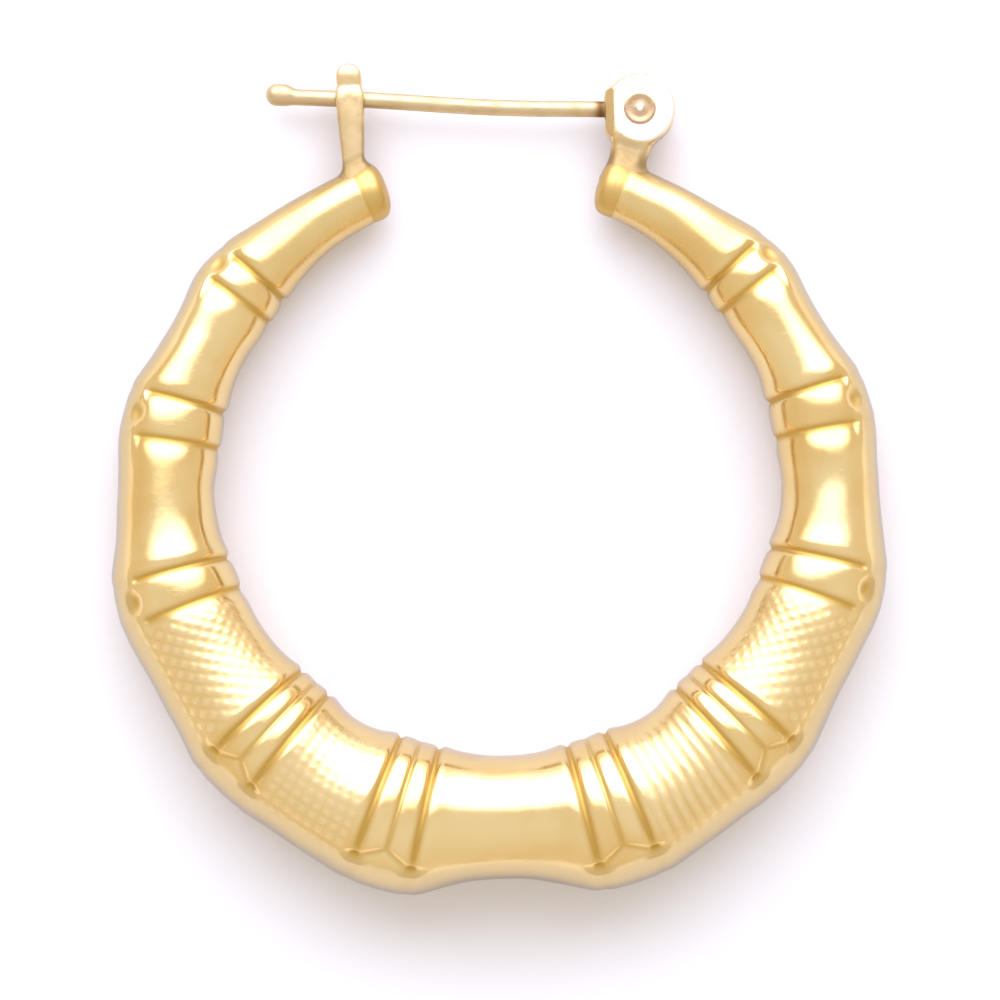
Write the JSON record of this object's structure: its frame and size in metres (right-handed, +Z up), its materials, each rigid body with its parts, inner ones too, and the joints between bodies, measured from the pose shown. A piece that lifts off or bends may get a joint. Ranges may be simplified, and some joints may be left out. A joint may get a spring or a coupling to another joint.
{
  "type": "bamboo hoop earring",
  "caption": "Hollow gold bamboo hoop earring, graduated from a thin closure to a thick front, with a hinged ear wire that closes into a forked catch.",
  "frame": {"origin": "on the surface that the earring lies on, under the middle of its box", "axes": "+Y from the thick front of the hoop towards its closure, +Z up from the surface, +X towards the hinge"},
  "size_m": [0.0384, 0.0411, 0.0077],
  "materials": {
    "hoop_gold": "polished yellow gold, four stretches hatched",
    "wire_gold": "drawn yellow gold wire, polished",
    "rivet_gold": "polished yellow gold"
  },
  "bodies": {
    "hoop": {"hoop": "hoop_gold", "hinge_rivet": "rivet_gold"},
    "ear_wire": {"ear_wire": "wire_gold"}
  },
  "joints": [
    {"name": "wire_hinge", "type": "hinge", "parent": "hoop", "child": "ear_wire", "pos_m": [0.00739, 0.01819, 0.00169], "axis": [0, -0.0647, -0.9979], "range_deg": [0, 100]}
  ]
}
